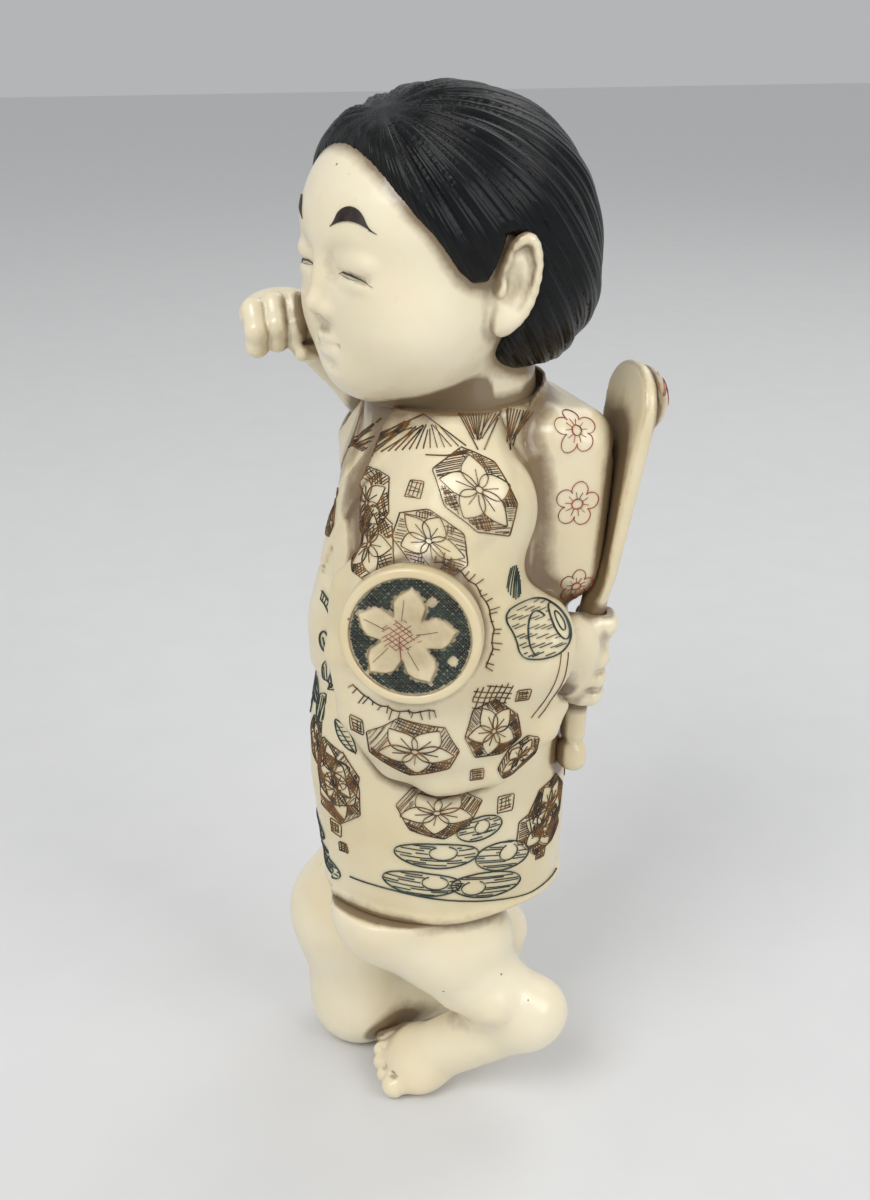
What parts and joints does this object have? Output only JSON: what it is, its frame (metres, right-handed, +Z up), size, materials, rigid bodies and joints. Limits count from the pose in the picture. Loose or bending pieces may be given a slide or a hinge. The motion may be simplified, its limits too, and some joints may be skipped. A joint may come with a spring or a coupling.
{
  "type": "resin figurine of a kneeling child",
  "caption": "Small cast resin figurine of a child in a kimono, kneeling, one fist raised, the other hand holding a battledore behind the back.",
  "frame": {"origin": "middle of the bounding box, on the surface that the figurine stands on", "axes": "+Z up; the child faces -Y and its left hand is on +X"},
  "size_m": [0.047, 0.0448, 0.1299],
  "materials": {
    "ivory_resin": "waxy gloss cream resin with etched and inked line patterns",
    "inlay_resin": "waxy gloss cream resin, engraved and inked dark green and red",
    "black_paint": "glossy black enamel over combed resin",
    "steel": "plain wire, hidden"
  },
  "bodies": {
    "root": {"head": "ivory_resin", "hair": "black_paint", "robe": "ivory_resin", "left_sleeve": "ivory_resin", "right_sleeve": "ivory_resin", "sleeve_medallion": "inlay_resin", "right_forearm": "ivory_resin", "left_hand": "ivory_resin", "battledore": "ivory_resin", "battledore_pad": "ivory_resin", "obi_knot": "ivory_resin", "left_leg": "ivory_resin", "right_leg": "ivory_resin", "neck_dowel": "steel", "left_shoulder_dowel": "steel", "right_sleeve_dowel": "steel", "left_wrist_dowel": "steel", "right_elbow_dowel": "steel", "knot_dowel": "steel", "left_leg_dowel": "steel", "right_leg_dowel": "steel"}
  },
  "joints": []
}
